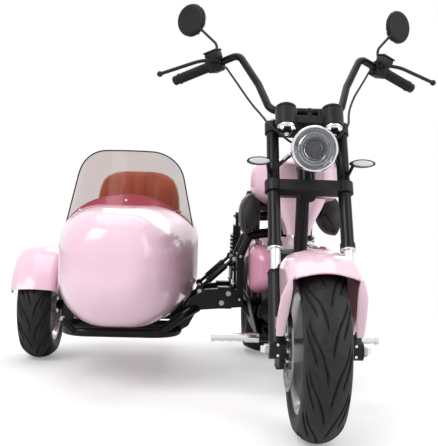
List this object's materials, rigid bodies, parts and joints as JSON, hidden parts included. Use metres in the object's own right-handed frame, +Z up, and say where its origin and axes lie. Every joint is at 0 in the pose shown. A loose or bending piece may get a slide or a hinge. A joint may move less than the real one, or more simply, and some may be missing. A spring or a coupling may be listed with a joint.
{
  "type": "sidecar motorcycle",
  "caption": "Electric chopper with high handlebars, wide tyres and a seated sidecar with a windscreen on its right side.",
  "frame": {"origin": "on the ground under the middle of the whole outfit", "axes": "+Z up, the outfit faces -Y, its sidecar is at -X"},
  "size_m": [1.524, 1.9655, 1.3444],
  "materials": {
    "pink_paint": "deep gloss",
    "black_paint": "gloss",
    "satin_black": "satin",
    "chrome": "polished",
    "alloy": "machined",
    "steel": "ground",
    "tyre": "moulded",
    "grip_rubber": "ribbed",
    "black_plastic": "fine grain",
    "black_leather": "fine grain",
    "tan_leather": "fine grain, piped edge",
    "crimson_trim": "gloss",
    "smoke_screen": "tinted clear",
    "lamp_glass": "fluted clear",
    "red_lens": "clear red"
  },
  "bodies": {
    "chassis": {"main_frame": "black_paint", "frame_cradle": "black_paint", "seat_rails": "black_paint", "battery_block": "black_plastic", "side_covers": "pink_paint", "tank_cover": "pink_paint", "belly_pan": "black_plastic", "saddle": "black_leather", "rear_fender": "pink_paint", "swingarm": "black_paint", "rear_axle": "steel", "rear_shocks": "satin_black", "tail_light": "red_lens", "plate_bracket": "black_plastic", "foot_pegs": "chrome", "bike_brackets": "black_paint", "sidecar_frame": "black_paint", "sidecar_arms": "black_paint", "sidecar_tub": "pink_paint", "windscreen": "smoke_screen", "cowl_band": "crimson_trim", "sidecar_seat": "tan_leather", "sidecar_backrest": "tan_leather", "sidecar_fender": "pink_paint", "sidecar_axle": "black_paint"},
    "steering": {"lower_clamp": "satin_black", "upper_clamp": "satin_black", "fork_tubes": "black_paint", "fork_stanchions": "chrome", "fork_sliders": "satin_black", "front_axle": "steel", "handlebar": "black_paint", "grips": "grip_rubber", "control_blocks": "black_plastic", "levers": "satin_black", "mirrors": "black_plastic", "gauge_pods": "satin_black", "headlight": "chrome", "headlight_lens": "lamp_glass", "control_cables": "grip_rubber", "front_indicators": "black_plastic", "front_fender": "pink_paint", "brake_caliper": "satin_black"},
    "front_wheel": {"front_tyre": "tyre", "front_rim": "alloy", "front_disc": "steel"},
    "rear_wheel": {"rear_tyre": "tyre", "rear_hub_motor": "satin_black"},
    "sidecar_wheel": {"sidecar_tyre": "tyre", "sidecar_rim": "alloy"}
  },
  "joints": [
    {"name": "steering_stem", "type": "hinge", "parent": "chassis", "child": "steering", "pos_m": [0.285, -0.49144, 0.67975], "axis": [0, 0.4226, 0.9063], "range_deg": [-35, 35]},
    {"name": "front_wheel_spin", "type": "hinge", "parent": "steering", "child": "front_wheel", "pos_m": [0.285, -0.739, 0.2435], "axis": [1, 0, 0], "continuous": true},
    {"name": "rear_wheel_spin", "type": "hinge", "parent": "chassis", "child": "rear_wheel", "pos_m": [0.285, 0.661, 0.2385], "axis": [1, 0, 0], "continuous": true},
    {"name": "sidecar_wheel_spin", "type": "hinge", "parent": "chassis", "child": "sidecar_wheel", "pos_m": [-0.673, 0.411, 0.218], "axis": [1, 0, 0], "continuous": true}
  ]
}
